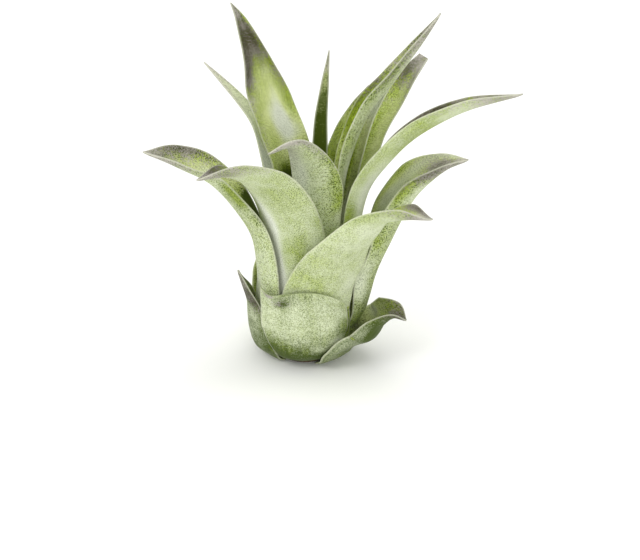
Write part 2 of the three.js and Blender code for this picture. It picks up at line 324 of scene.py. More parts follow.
def ripple(length, width, seed):
    """The height of the ripples that a grown blade has: long soft waves, wavy margins and fine ribs."""
    row = length[:, None]
    short, long = SLOW_SPANS
    left, right = SLOW_SLANTS
    slow = np.sin(row / short + left * ACROSS + seed) * np.sin(row / long - right * ACROSS + 2 * seed)
    margins = np.sin(row / MARGIN_SPAN + MARGIN_SHIFT * np.sign(ACROSS) + 3 * seed)
    margins = margins * np.abs(ACROSS) ** 4
    ribs = np.cos(np.pi * RIBS * ACROSS + RIB_SWAY * np.sin(row / RIB_SPAN + seed))
    breadth = np.clip(width[:, None] / RIPPLED_WIDTH, 0, 1)
    grown = np.clip((row - BASE_LENGTH) / WAVES_GROW_OVER, 0, 1)
    return breadth * (SLOW_WAVE * slow + MARGIN_WAVE * margins * grown + RIB_HEIGHT * ribs)


def around(length, patch_along, patch_across, reach_along, reach_across):
    """How strongly each point of a leaf lies in a soft oval patch, from 0 to 1."""
    share = length[:, None] / length[-1]
    far = ((share - patch_along) / reach_along) ** 2 + ((ACROSS - patch_across) / reach_across) ** 2
    return np.exp(-far)


def leaf_mesh(leaf, look, seed):
    """One closed leaf: inner and outer face meeting in thin margins, with what its skin needs to know."""
    skin, midrib = leaf_skin(leaf)
    rows, columns = skin.shape[:2]
    middle = skin[:, columns // 2]
    length = np.concatenate([[0], np.cumsum(np.linalg.norm(np.diff(middle, axis=0), axis=1))])
    width = np.linalg.norm(np.diff(skin, axis=1), axis=2).sum(axis=1)
    height = ripple(length, width, seed)
    for *place, depth in look.get("dents", ()):
        height = height + depth * around(length, *place)
    skin = skin + skin_normals(skin) * height[..., None]
    normal = skin_normals(skin)
    margin_distance = (1 - np.abs(ACROSS))[None, :] * width[:, None] / 2
    half = (LEAF_THICKNESS + midrib[:, None] * (1 - ACROSS[None, :] ** 2)) / 2
    thinned = np.sqrt(np.clip(margin_distance / MARGIN_TAPER, 0, 1))
    half = MARGIN_THICKNESS / 2 + (half - MARGIN_THICKNESS / 2) * thinned
    inner = skin + normal * half[..., None]
    outer = skin - normal * half[..., None]
    vertices = np.concatenate([inner.reshape(-1, 3), outer.reshape(-1, 3)])
    vertices[:, 2] = np.maximum(vertices[:, 2], 0)  # no foot dips under the ground
    count = rows * columns
    index = np.arange(count).reshape(rows, columns)
    a, b, c, d = index[:-1, :-1], index[1:, :-1], index[1:, 1:], index[:-1, 1:]
    inner_faces = np.stack([a, b, c, d], axis=-1).reshape(-1, 4)
    outer_faces = inner_faces[:, ::-1] + count
    left, right = index[:, 0], index[:, -1]
    foot, tip = index[0], index[-1]
    rims = []
    for edge in (left[::-1], tip[::-1], right, foot):
        rims.append(np.stack([edge[:-1], edge[1:], edge[1:] + count, edge[:-1] + count], axis=-1))
    faces = np.concatenate([inner_faces, outer_faces, *rims])
    is_inner = np.zeros(len(faces), int)
    is_inner[: len(inner_faces)] = 1
    return vertices, faces, is_inner, length, margin_distance


def linear(hex_colour):
    """An sRGB hex value as the linear colour that Blender takes."""
    channels = [int(hex_colour[i : i + 2], 16) / 255 for i in (1, 3, 5)]
    return (*[c / 12.92 if c <= 0.04045 else ((c + 0.055) / 1.055) ** 2.4 for c in channels], 1)


def add_node(tree, kind, inputs, output=0, **settings):
    """Adds a node with its settings and gives back one of its outputs. inputs says what each socket
    takes: a value, a colour in hex, or the output of another node."""
    node = tree.nodes.new(kind)
    for key, value in settings.items():
        setattr(node, key, value)
    for socket, value in inputs.items():
        if isinstance(value, bpy.types.NodeSocket):
            tree.links.new(value, node.inputs[socket])
        else:
            node.inputs[socket].default_value = linear(value) if isinstance(value, str) else value
    return node.outputs[output] if node.outputs else node


def new_material(name):
    material = bpy.data.materials.new(name)
    material.use_nodes = True
    tree = material.node_tree
    tree.nodes.clear()
    return material, tree


SCALE_SIZE = 0.45  # real scales are 0.2 mm across, drawn twice as coarse to show
FRECKLE_SIZE = 0.3
CLOUDS_PER_MM = 0.22  # soft uneven areas about 4.5 mm across
STREAK_STRETCH = (0.9, 0.07, 1)  # streaks run along the leaf
DRIED_TISSUE = "#3e342b"
DRIED_SCALES = "#b9b4ab"
# the whitest scales, for a thick coat and for painted light on faces in shade
THICK_SCALES_AND_LIGHT = "#e2e6d6"
# the pale margin: partly a fringe of scales, partly a painted highlight on the lit edge
MARGIN_COLOUR = "#d3d5bf"
MARGIN_SHARE = 0.5
SPECKLE = 1.1  # how sharply the coat breaks up into single scales
MIXING = {"output": 2, "data_type": "RGBA"}  # then 0 takes the share, 6 and 7 the two colours
SMOOTHLY = {"output": "Result", "interpolation_type": "SMOOTHSTEP"}


def leaf_skin_material(name, young, mature, scales):
    """Firm leaf tissue under a coat of silvery scales. The tissue is a waxy green that dries to dark
    brown; the scales scatter light in all directions, so the skin looks matt and finely speckled."""
    material, tree = new_material(name)
    place = add_node(tree, "ShaderNodeAttribute", {}, "Vector", attribute_name="skin_place")
    told = {}
    for what in ("coat_and_light", "deep", "dry", "rim", "freckled"):
        told[what] = add_node(tree, "ShaderNodeAttribute", {}, "Fac", attribute_name=what)
    stretched = add_node(
        tree, "ShaderNodeVectorMath", {0: place, 1: STREAK_STRETCH}, operation="MULTIPLY"
    )
    pattern = {}
    for what, where, per_mm, detail in (
        ("clouds", place, CLOUDS_PER_MM, 4),
        ("grain", place, 1 / SCALE_SIZE, 2),
        ("freckles", place, 1 / FRECKLE_SIZE, 1),
        ("streaks", stretched, 1, 2),
    ):
        inputs = {"Vector": where, "Scale": per_mm, "Detail": detail}
        pattern[what] = add_node(tree, "ShaderNodeTexNoise", inputs, "Fac")
    # Each row turns a range of a pattern, or of what the leaf says, into a smooth change.
    change = {}
    for what, source, low, high, to_low, to_high in (
        ("cloudy", pattern["clouds"], 0.3, 0.7, -0.15, 0.15),
        ("streaky", pattern["streaks"], 0.3, 0.7, -0.15, 0.15),
        ("grainy", pattern["grain"], 0.3, 0.7, -0.3, 0.3),
        ("thinly_coated", pattern["clouds"], 0.3, 0.7, -0.12, 0.12),
        ("crowded", pattern["clouds"], 0.35, 0.65, 0.025, -0.025),
        ("thickly_coated_and_lit", told["coat_and_light"], 0.85, 1.5, 0, 1),
        ("bare", told["coat_and_light"], 0.3, 1, 0.9, 0.45),
        ("near_tip", told["dry"], 0, 0.15, 0, 1),
    ):
        inputs = {"Value": source, "From Min": low, "From Max": high, "To Min": to_low, "To Max": to_high}
        change[what] = add_node(tree, "ShaderNodeMapRange", inputs, **SMOOTHLY)

    # Young to mature green follows deep, raised for painted shade and lowered for painted light too.
    ripeness_and_shading = add_node(tree, "ShaderNodeMath", {0: told["deep"], 1: change["cloudy"]})
    ripeness_and_shading = add_node(tree, "ShaderNodeMath", {0: ripeness_and_shading, 1: change["streaky"]})
    dryness = add_node(tree, "ShaderNodeMath", {0: told["dry"], 1: change["cloudy"]})
    dryness = add_node(tree, "ShaderNodeMath", {0: dryness, 1: change["grainy"]})
    dryness = add_node(
        tree, "ShaderNodeMapRange", {"Value": dryness, "From Min": 0.1, "From Max": 0.9}, **SMOOTHLY
    )
    dryness = add_node(tree, "ShaderNodeMath", {0: dryness, 1: change["near_tip"]}, operation="MULTIPLY")
    tissue = add_node(tree, "ShaderNodeMix", {0: ripeness_and_shading, 6: young, 7: mature}, **MIXING)
    tissue = add_node(tree, "ShaderNodeMix", {0: dryness, 6: tissue, 7: DRIED_TISSUE}, **MIXING)
    # Above a coat of 0.85 the scales turn whiter: partly thick scales, partly painted light.
    coating_and_light = {0: change["thickly_coated_and_lit"], 6: scales, 7: THICK_SCALES_AND_LIGHT}
    coating_and_light = add_node(tree, "ShaderNodeMix", coating_and_light, **MIXING)
    coating_and_light = add_node(tree, "ShaderNodeMix", {0: dryness, 6: coating_and_light, 7: DRIED_SCALES}, **MIXING)

    # The scale share follows coat, raised for painted light and lowered for painted shade too.
    cover_and_light = add_node(tree, "ShaderNodeMath", {0: told["coat_and_light"], 1: change["thinly_coated"]})
    speckles = {0: pattern["grain"], 1: SPECKLE, 2: -SPECKLE / 2}
    speckles = add_node(tree, "ShaderNodeMath", speckles, operation="MULTIPLY_ADD")
    cover_and_light = add_node(tree, "ShaderNodeMath", {0: speckles, 1: cover_and_light})
    skin = add_node(tree, "ShaderNodeMix", {0: cover_and_light, 6: tissue, 7: coating_and_light}, **MIXING)
    bare = add_node(tree, "ShaderNodeMath", {0: change["bare"], 1: told["freckled"]}, operation="MULTIPLY")
    freckles = add_node(tree, "ShaderNodeMath", {0: pattern["freckles"], 1: change["crowded"]})
    freckles = add_node(
        tree, "ShaderNodeMapRange", {"Value": freckles, "From Min": 0.5, "From Max": 0.63}, **SMOOTHLY
    )
    freckles = add_node(tree, "ShaderNodeMath", {0: freckles, 1: bare}, operation="MULTIPLY")
    skin = add_node(tree, "ShaderNodeMix", {0: freckles, 6: skin, 7: mature}, **MIXING)
    # The pale margin is partly scale fringe and partly a painted highlight.
    margin = add_node(tree, "ShaderNodeMath", {0: told["rim"], 1: MARGIN_SHARE}, operation="MULTIPLY")
    skin = add_node(tree, "ShaderNodeMix", {0: margin, 6: skin, 7: MARGIN_COLOUR}, **MIXING)
    bump = add_node(
        tree, "ShaderNodeBump", {"Height": pattern["grain"], "Strength": 0.2, "Distance": 0.15 * MM}
    )
    shader = add_node(tree, "ShaderNodeBsdfPrincipled", {
        "Base Color": skin, "Roughness": 0.7, "Specular IOR Level": 0.1, "Normal": bump,
        "Sheen Weight": 0.08, "Sheen Roughness": 0.5,
    })
    add_node(tree, "ShaderNodeOutputMaterial", {"Surface": shader})
    return material


outer_skin = leaf_skin_material("silvery_outer_leaf_skin", "#a6b852", "#40500e", "#ced6b4")
inner_skin = leaf_skin_material("green_inner_leaf_skin", "#adc33c", "#394604", "#ced796")

# How each leaf looks. The coat values say how much of a face the scales hide and deep how dark its
# green is, each at the foot, the middle and the tip, for the outer and the inner face. Both also paint
# light and shade: less coat and a deeper green are painted shade on the lowest leaves, in hollows and
# in gaps between leaves, and more coat and a younger green are painted light on faces in the shade of
# other leaves. The leaf dries over the last dry millimetres of its middle and twice that at its margins,
# more at one of them if it has a lean. The outer and inner face lose the shares dark of their coat there.
# freckled is its share of freckles, 1 if not given. A patch is a soft oval on one face: what changes
# there, its place along and across the leaf, its reach both ways, and how much it adds; many coat and deep
# patches paint light and shade in the same way. A dent is such an oval through both faces, with its depth
# in millimetres.
LOOKS = {
    "basal_right": dict(
        # Low coat and deep green on the outer face are painted shade over this low leaf.
        coat_and_light=((0.1, 0.15, 0.1), (0.3, 0.3, 0.3)), deep=((0.8, 0.8, 0.8), (0.5, 0.5, 0.7)),
        dry=4, dark=(0.6, 0.8),
        patches=[
            ("outside", "coat_and_light", 0.42, -0.8, 0.12, 0.35, 0.4),
            ("outside", "coat_and_light", 0.6, -0.35, 0.1, 0.25, -0.5),
            ("outside", "coat_and_light", 0.65, -0.85, 0.08, 0.25, 0.4),
            ("outside", "coat_and_light", 0.75, -0.3, 0.15, 0.4, -0.3),
            ("outside", "deep", 0.6, -0.5, 0.3, 1, 0.3),
            ("outside", "deep", 0.6, -0.35, 0.1, 0.25, 0.6),
            ("outside", "deep", 0.65, -0.3, 0.2, 0.4, 0.5),
            ("outside", "dry", 0.9, 0, 0.1, 1, 0.3),
            ("outside", "dry", 0.95, -0.8, 0.05, 0.4, 0.6),
            ("inside", "coat_and_light", 0.5, 0.9, 0.12, 0.4, 0.5),
            ("inside", "coat_and_light", 0.55, 0.8, 0.12, 0.4, 0.5),
            ("inside", "coat_and_light", 0.65, 0.85, 0.07, 0.25, 0.6),
            ("inside", "deep", 0.3, 0.8, 0.08, 0.5, 0.5),
            ("inside", "dry", 0.8, 0.3, 0.1, 0.5, 0.3),
            ("inside", "dry", 0.85, -0.2, 0.12, 0.8, 0.4),
            ("inside", "dry", 0.9, 0, 0.09, 0.4, 0.5),
        ],
    ),
    "basal_back": dict(
        coat_and_light=((0.7, 0.65, 0.7), (0.3, 0.4, 0.4)), deep=((0.4, 0.3, 0.3), (0.5, 0.4, 0.4)),
        dry=6, dark=(0.5, 0.5),
    ),
    "basal_front": dict(
        # The bare, deep green foot is painted shade low on the leaf.
        coat_and_light=((-0.1, 0.84, 0.7), (0.5, 0.5, 0.5)), deep=((1.1, 0.6, 0.4), (0.4, 0.4, 0.4)),
        dry=0, dark=(0.9, 0.4), freckled=0.95,
        dents=[(0.8, -0.45, 0.1, 0.2, 0.8)],
        patches=[
            ("outside", "coat_and_light", 0.3, 0.95, 0.1, 0.2, 0.5),
            ("outside", "coat_and_light", 0.35, -0.9, 0.12, 0.35, -0.4),
            ("outside", "coat_and_light", 0.35, 0.4, 0.06, 0.3, 0.5),
            ("outside", "coat_and_light", 0.43, 0.85, 0.07, 0.2, 0.7),
            ("outside", "coat_and_light", 0.45, 0.85, 0.05, 0.2, 0.4),
            ("outside", "coat_and_light", 0.55, 0.9, 0.1, 0.2, -0.5),
            ("outside", "coat_and_light", 0.65, 0.9, 0.08, 0.2, -0.4),
            ("outside", "coat_and_light", 0.66, 0.25, 0.15, 0.5, -0.05),
            ("outside", "coat_and_light", 0.9, -0.42, 0.04, 0.16, -0.5),
            ("outside", "coat_and_light", 0.95, 0, 0.06, 0.4, -0.3),
            ("outside", "coat_and_light", 0.97, -0.45, 0.04, 0.3, -0.2),
            ("outside", "deep", 0.85, 0, 0.15, 1, 0.25),
            ("outside", "deep", 0.9, -0.42, 0.04, 0.16, 0.7),
            ("outside", "deep", 0.97, -0.4, 0.04, 0.3, 0.4),
            ("outside", "dry", 0.9, -0.45, 0.05, 0.2, 0.6),
            ("outside", "dry", 0.99, -0.75, 0.02, 0.15, 0.9),
        ],
    ),
    "back_right": dict(
        coat_and_light=((0.7, 0.65, 0.7), (0.3, 0.4, 0.4)), deep=((0.4, 0.3, 0.3), (0.5, 0.4, 0.4)),
        dry=6, dark=(0.5, 0.5),
    ),
    "basal_left": dict(
        # The bare, deep green foot is painted shade low on the leaf.
        coat_and_light=((0.15, 0.65, 0.5), (0.4, 0.4, 0.4)), deep=((1, 0.9, 0.6), (0.6, 0.6, 0.6)),
        dry=12, dark=(1, 1),
        patches=[
            ("outside", "coat_and_light", 0.3, 0.9, 0.12, 0.3, -0.3),
            ("outside", "deep", 0.6, 0, 0.3, 1, 0.3),
            ("outside", "dry", 0.78, 0.3, 0.1, 1, 0.7),
            ("outside", "dry", 0.92, 0, 0.15, 2, 0.5),
        ],
    ),
    "front_right": dict(
        coat_and_light=((0.7, 0.7, 0.75), (0.35, 0.35, 0.4)), deep=((0.2, 0.2, 0.25), (0.3, 0.3, 0.5)),
        dry=9, dark=(0.5, 0.5), freckled=0.75,
        patches=[
            ("outside", "coat_and_light", 0.2, 0.9, 0.07, 0.4, -0.6),
            ("outside", "coat_and_light", 0.22, 0.8, 0.05, 0.3, -0.4),
            ("outside", "coat_and_light", 0.4, -0.4, 0.08, 0.5, -0.25),
            ("outside", "coat_and_light", 0.4, 0.7, 0.08, 0.3, 0.3),
            ("outside", "coat_and_light", 0.45, -0.85, 0.09, 0.25, -0.2),
            ("outside", "coat_and_light", 0.72, 0, 0.08, 0.8, 0.25),
            ("outside", "coat_and_light", 0.8, -0.95, 0.08, 0.25, -0.35),
            ("outside", "deep", 0.2, 0.9, 0.06, 0.4, 0.5),
            ("outside", "dry", 0.93, -0.3, 0.05, 0.5, 0.25),
            ("inside", "coat_and_light", 0.9, 0, 0.08, 0.4, 0.5),
            ("inside", "coat_and_light", 0.92, 0.2, 0.05, 0.4, 0.4),
            ("inside", "dry", 0.93, 0.9, 0.06, 0.3, 0.5),
        ],
    ),
    "back_middle": dict(
        coat_and_light=((0.7, 0.65, 0.7), (0.3, 0.4, 0.4)), deep=((0.4, 0.3, 0.3), (0.5, 0.4, 0.4)),
        dry=6, dark=(0.5, 0.5),
    ),
    "low_left": dict(
        coat_and_light=((0.75, 0.65, 0.85), (0.2, 0.65, 0.75)), deep=((0.2, 0.2, 0.2), (1, 0.2, 0.2)),
        dry=20, dark=(0.25, 0.45), freckled=1.15, lean=-0.3,
        patches=[
            ("outside", "coat_and_light", 0.2, 0, 0.04, 0.3, -0.2),
            ("outside", "coat_and_light", 0.3, 0, 0.08, 0.3, 0.3),
            ("outside", "coat_and_light", 0.55, 0.9, 0.05, 0.3, -0.2),
            ("outside", "coat_and_light", 0.56, 0, 0.06, 0.3, -0.4),
            ("outside", "coat_and_light", 0.66, 0.9, 0.05, 0.3, -1),
            ("outside", "deep", 0.56, 0.99, 0.04, 0.07, 0.9),
            ("outside", "deep", 0.63, 0.8, 0.07, 0.6, 0.25),
            # The inside patches at 0.52 to 0.57, with less coat and a deeper green, are painted shade in
            # its hollow.
            ("inside", "coat_and_light", 0.52, -0.7, 0.08, 1, -0.9),
            ("inside", "coat_and_light", 0.54, -0.8, 0.05, 0.5, -0.5),
            ("inside", "coat_and_light", 0.57, -0.86, 0.05, 0.3, -0.6),
            ("inside", "coat_and_light", 0.66, -0.9, 0.05, 0.3, 0.35),
            ("inside", "coat_and_light", 0.75, -0.4, 0.06, 0.3, 0.5),
            ("inside", "deep", 0.52, -0.7, 0.08, 1, 0.6),
            ("inside", "deep", 0.54, -0.8, 0.05, 0.5, 0.4),
            ("inside", "deep", 0.57, -0.86, 0.05, 0.3, 0.6),
            ("inside", "dry", 0.84, -0.9, 0.07, 0.3, 0.4),
            ("inside", "dry", 0.93, 0.2, 0.04, 0.4, 0.5),
        ],
    ),
    "low_right": dict(
        # Its inner face has extra coat and a younger green, painted light on a face in shade.
        coat_and_light=((0.55, 0.6, 0.8), (0.6, 0.95, 1.1)), deep=((0.4, 0.25, 0.2), (0.2, -0.7, -0.3)),
        dry=12, dark=(0.5, 0.5), freckled=1.25, lean=-0.3,
        patches=[
            ("outside", "coat_and_light", 0.18, -0.7, 0.09, 0.6, -0.6),
            ("outside", "coat_and_light", 0.34, -0.85, 0.12, 0.3, 0.35),
            ("outside", "coat_and_light", 0.34, -0.85, 0.08, 0.3, 0.2),
            ("outside", "coat_and_light", 0.4, -0.35, 0.14, 0.2, -0.3),
            ("outside", "coat_and_light", 0.45, -0.8, 0.07, 0.3, 0.2),
            ("outside", "coat_and_light", 0.55, -0.85, 0.07, 0.25, -0.5),
            ("outside", "coat_and_light", 0.76, -0.9, 0.08, 0.25, -0.6),
            ("outside", "coat_and_light", 0.76, -0.9, 0.06, 0.3, -0.2),
            ("outside", "coat_and_light", 0.76, -0.5, 0.07, 0.3, 0.3),
            ("outside", "dry", 0.86, -0.3, 0.05, 0.4, 0.3),
            ("outside", "dry", 0.87, -0.8, 0.05, 0.3, 0.2),
            ("outside", "dry", 0.88, -0.95, 0.06, 0.2, 0.4),
            ("inside", "coat_and_light", 0.62, 0.6, 0.06, 0.3, 0.2),
            ("inside", "coat_and_light", 0.62, 0.9, 0.1, 0.4, 0.3),
            # Less coat along the inner margin at 1, with the deep patch at 0.7 below, is painted shade in
            # the fold.
            ("inside", "coat_and_light", 0.66, 1.02, 0.12, 0.14, -0.5),
            ("inside", "coat_and_light", 0.68, 0.6, 0.06, 0.5, 0.2),
            ("inside", "coat_and_light", 0.7, 1, 0.09, 0.12, -0.3),
            ("inside", "coat_and_light", 0.76, 1, 0.06, 0.25, -0.5),
            ("inside", "coat_and_light", 0.78, 0.75, 0.08, 0.25, 0.25),
            ("inside", "coat_and_light", 0.88, 0.9, 0.08, 0.3, 0.4),
            ("inside", "deep", 0.7, 0.6, 0.1, 0.5, -0.4),
            ("inside", "deep", 0.7, 0.7, 0.1, 0.6, -0.3),
            ("inside", "deep", 0.7, 1, 0.09, 0.12, 0.9),
            ("inside", "dry", 0.85, 0.3, 0.05, 0.3, 0.4),
            ("inside", "dry", 0.86, 0.35, 0.05, 0.25, 0.4),
            ("inside", "dry", 0.9, 0.25, 0.06, 0.3, 0.6),
            ("inside", "dry", 0.95, 0.9, 0.05, 0.3, -0.5),
        ],
    ),
    "front_left": dict(
        coat_and_light=((0.75, 0.7, 0.8), (0.2, 0.2, 0.4)), deep=((0.2, 0.25, 0.2), (0.5, 0.5, 0.5)),
        dry=12, dark=(0.5, 0.9),
        patches=[
            # The coat patches along its left side are partly whitish scale fuzz, partly painted light
            # where low_left's margin shades it.
            ("outside", "coat_and_light", 0.28, -0.3, 0.1, 0.3, 0.8),
            ("outside", "coat_and_light", 0.35, -0.45, 0.06, 0.25, 0.4),
            ("outside", "coat_and_light", 0.36, -0.45, 0.08, 0.25, 0.5),
            ("outside", "coat_and_light", 0.38, -0.2, 0.06, 0.2, -0.3),
            ("outside", "coat_and_light", 0.42, -0.5, 0.16, 0.25, 0.5),
            ("outside", "coat_and_light", 0.45, -0.7, 0.12, 0.25, 0.8),
            ("outside", "coat_and_light", 0.46, 0.05, 0.05, 0.3, -0.2),
            ("outside", "coat_and_light", 0.47, 0.35, 0.06, 0.3, -0.45),
            ("outside", "coat_and_light", 0.48, 0.75, 0.05, 0.2, 0.35),
            ("outside", "coat_and_light", 0.55, -0.45, 0.07, 0.25, 0.3),
            ("outside", "coat_and_light", 0.55, 0.9, 0.07, 0.3, 0.2),
            ("outside", "coat_and_light", 0.55, 0.95, 0.05, 0.2, -0.35),
            ("outside", "coat_and_light", 0.56, -0.4, 0.05, 0.2, 0.3),
            ("outside", "coat_and_light", 0.6, -0.5, 0.1, 0.25, 0.5),
            ("outside", "coat_and_light", 0.64, -0.95, 0.04, 0.2, -0.6),
            ("outside", "coat_and_light", 0.68, 0.3, 0.08, 0.5, -0.15),
            ("outside", "coat_and_light", 0.7, 0.6, 0.07, 0.5, -0.2),
            ("outside", "coat_and_light", 0.75, 0.9, 0.07, 0.3, 0.3),
            ("outside", "coat_and_light", 0.75, 0.9, 0.08, 0.3, -0.3),
            ("outside", "dry", 0.9, 0.3, 0.05, 0.4, 0.35),
            ("inside", "dry", 0.9, 0, 0.08, 1.5, 0.4),
        ],
    ),
    "thin_left": dict(
        coat_and_light=((0.7, 0.7, 0.7), (0.9, 1.2, 1.2)), deep=((0.2, 0.2, 0.2), (0, -0.3, 0)),
        dry=14, dark=(0.2, 0.1), freckled=1,
        patches=[
            ("inside", "coat_and_light", 0.62, 0.4, 0.07, 1.5, 0.4),
            ("inside", "coat_and_light", 0.7, 0, 0.05, 0.4, -0.4),
        ],
    ),
    "back_fan": dict(
        coat_and_light=((0.7, 0.7, 0.7), (0.3, 0.45, 0.8)), deep=((0.2, 0.2, 0.2), (0.2, -0.2, 0.2)),
        dry=14, dark=(0.5, 0.9), freckled=1.5,
        patches=[
            ("inside", "coat_and_light", 0.62, -0.6, 0.06, 0.5, 0.5),
            ("inside", "coat_and_light", 0.74, -0.4, 0.08, 0.6, 0.35),
            ("inside", "coat_and_light", 0.74, 0.45, 0.08, 0.3, -0.4),
            ("inside", "deep", 0.66, 0.5, 0.12, 0.3, 0.4),
            ("inside", "dry", 0.88, 0.2, 0.06, 0.5, 0.3),
            ("inside", "dry", 0.96, 0.6, 0.05, 0.5, 0.4),
        ],
    ),
    "long_right": dict(
        coat_and_light=((0.7, 0.7, 0.8), (0.3, 0.5, 0.7)), deep=((0.1, 0.2, 0.2), (0.4, 0.3, 0.3)),
        dry=24, dark=(0.25, 0.3), freckled=0.85, lean=0.5,
        patches=[
            ("outside", "coat_and_light", 0.42, -0.85, 0.05, 0.25, -0.5),
            ("outside", "coat_and_light", 0.42, -0.75, 0.05, 0.3, -0.35),
            ("outside", "coat_and_light", 0.44, -0.1, 0.08, 0.4, 0.4),
            ("outside", "coat_and_light", 0.48, -0.7, 0.06, 0.4, 0.3),
            ("outside", "coat_and_light", 0.48, -0.35, 0.09, 0.3, 0.4),
            ("outside", "coat_and_light", 0.55, -0.85, 0.07, 0.3, -0.2),
            ("outside", "coat_and_light", 0.56, -0.3, 0.05, 0.4, 0.25),
            ("outside", "coat_and_light", 0.71, -0.2, 0.07, 0.5, -0.4),
            ("outside", "coat_and_light", 0.75, -0.85, 0.08, 0.3, -0.35),
            ("outside", "coat_and_light", 0.76, 0.1, 0.08, 0.3, -0.3),
            ("outside", "coat_and_light", 0.84, -0.5, 0.06, 0.5, 0.3),
            ("outside", "deep", 0.46, -0.6, 0.06, 0.6, -0.4),
            ("outside", "deep", 0.56, -0.4, 0.06, 0.4, -0.3),
            ("inside", "coat_and_light", 0.65, 0.8, 0.06, 0.5, -0.2),
            ("inside", "coat_and_light", 0.75, 0.9, 0.1, 0.3, -0.4),
            ("inside", "deep", 0.55, 0.97, 0.15, 0.15, 0.5),
            ("inside", "deep", 0.65, 0.8, 0.05, 0.5, -0.3),
            ("inside", "dry", 0.6, 0.97, 0.12, 0.15, 0.6),
            ("inside", "dry", 0.65, 0.95, 0.12, 0.15, 0.4),
            ("inside", "dry", 0.74, 0.9, 0.08, 0.3, 0.3),
            ("inside", "dry", 0.74, 0.95, 0.06, 0.3, 0.6),
        ],
    ),
    "front_hooked": dict(
        coat_and_light=((0.4, 0.65, 0.95), (0.2, 0.2, 0.3)), deep=((0.4, 0.25, 0.2), (0.5, 0.5, 0.5)),
        dry=16, dark=(0.25, 0.5), freckled=1.15,
        patches=[
            ("outside", "coat_and_light", 0.45, 0, 0.05, 1, 0.3),
            ("outside", "coat_and_light", 0.56, 0.4, 0.05, 0.3, 0.2),
            ("outside", "coat_and_light", 0.56, 0.85, 0.05, 0.25, 0.2),
            ("outside", "coat_and_light", 0.56, 0.9, 0.04, 0.2, 0.3),
            ("outside", "coat_and_light", 0.62, 0.8, 0.06, 0.4, -0.4),
            ("outside", "coat_and_light", 0.66, 0.85, 0.06, 0.3, -0.3),
            # The extra coat on its curled left side, here and at 0.8, is painted light on a face turned
            # into shade.
            ("outside", "coat_and_light", 0.74, -0.5, 0.12, 0.4, 0.5),
            ("outside", "coat_and_light", 0.76, 0.85, 0.07, 0.3, -0.2),
            ("outside", "coat_and_light", 0.76, 0.9, 0.06, 0.3, -0.2),
            ("outside", "coat_and_light", 0.8, -0.8, 0.12, 0.4, 0.7),
            ("outside", "coat_and_light", 0.93, 0, 0.05, 1, 0.4),
            ("outside", "deep", 0.55, 0.7, 0.06, 0.5, -0.5),
            ("outside", "deep", 0.56, 0.4, 0.06, 0.3, -0.3),
            ("outside", "deep", 0.56, 0.85, 0.05, 0.25, -0.3),
            ("outside", "dry", 0.93, 1, 0.05, 0.3, 0.6),
        ],
    ),
    "tall_left": dict(
        coat_and_light=((0.6, 0.7, 0.6), (0.4, 0.65, 0.45)), deep=((0.2, 0.2, 0.2), (0.2, 0.1, 0.3)),
        dry=28, dark=(0.6, 0.9), freckled=1.5, lean=0.3,
        patches=[
            # Less coat low on the inner face, here and in the next three patches, is painted shade in the
            # hollow under front_hooked's hook.
            ("inside", "coat_and_light", 0.44, 0, 0.08, 2, -0.9),
            ("inside", "coat_and_light", 0.5, 0.2, 0.035, 0.4, -0.5),
            ("inside", "coat_and_light", 0.54, -0.85, 0.035, 0.4, -0.6),
            ("inside", "coat_and_light", 0.54, -0.65, 0.03, 0.4, -0.8),
            ("inside", "coat_and_light", 0.56, 0.05, 0.03, 0.2, 0.3),
            ("inside", "coat_and_light", 0.6, -0.85, 0.06, 0.35, 0.35),
            ("inside", "coat_and_light", 0.6, -0.6, 0.06, 0.4, 0.2),
            ("inside", "coat_and_light", 0.63, -0.2, 0.08, 0.35, 0.4),
            ("inside", "coat_and_light", 0.65, -0.35, 0.07, 0.3, 0.25),
            ("inside", "coat_and_light", 0.65, -0.3, 0.06, 0.3, 0.3),
            ("inside", "coat_and_light", 0.66, 0.05, 0.06, 0.25, 0.25),
            ("inside", "coat_and_light", 0.7, 0.3, 0.08, 0.3, 0.2),
            ("inside", "coat_and_light", 0.72, -0.8, 0.09, 0.3, -0.35),
            ("inside", "coat_and_light", 0.76, -0.4, 0.08, 0.3, 0.4),
            ("inside", "coat_and_light", 0.76, 0.85, 0.07, 0.3, 0.4),
            ("inside", "coat_and_light", 0.76, 0.95, 0.1, 0.25, 0.25),
            ("inside", "coat_and_light", 0.93, 0.1, 0.05, 0.4, 0.6),
            # These four deep patches are painted shade in the same hollow.
            ("inside", "deep", 0.44, 0, 0.08, 2, 1),
            ("inside", "deep", 0.5, 0.2, 0.035, 0.4, 0.5),
            ("inside", "deep", 0.54, -0.65, 0.03, 0.4, 0.5),
            ("inside", "deep", 0.55, -0.85, 0.03, 0.3, 0.5),
            ("inside", "deep", 0.76, 0.9, 0.1, 0.3, -0.3),
            ("inside", "deep", 0.82, -0.4, 0.08, 0.4, 0.4),
            ("inside", "dry", 0.8, 0.8, 0.05, 0.3, 0.5),
            ("inside", "dry", 0.84, -0.9, 0.08, 0.25, 0.5),
            ("inside", "dry", 0.84, -0.9, 0.07, 0.3, -0.15),
            ("inside", "dry", 0.85, -0.9, 0.07, 0.3, -0.25),
            ("inside", "dry", 0.87, 0.4, 0.05, 0.4, 0.5),
            ("inside", "dry", 0.88, -0.4, 0.05, 0.3, 0.5),
            ("inside", "dry", 0.9, 0, 0.06, 0.6, 0.3),
            ("inside", "dry", 0.95, -0.9, 0.05, 0.4, -0.4),
        ],
    ),
    "narrow_right": dict(
        # Its inner face has extra coat and a younger green, painted light on a face in the shade of other
        # leaves.
        coat_and_light=((0.7, 0.7, 0.7), (0.7, 0.7, 1.1)), deep=((0.2, 0.2, 0.2), (-0.6, -0.5, 0)),
        dry=5, dark=(0.3, 0.3), freckled=1.2,
        patches=[
            # This extra coat is painted light too.
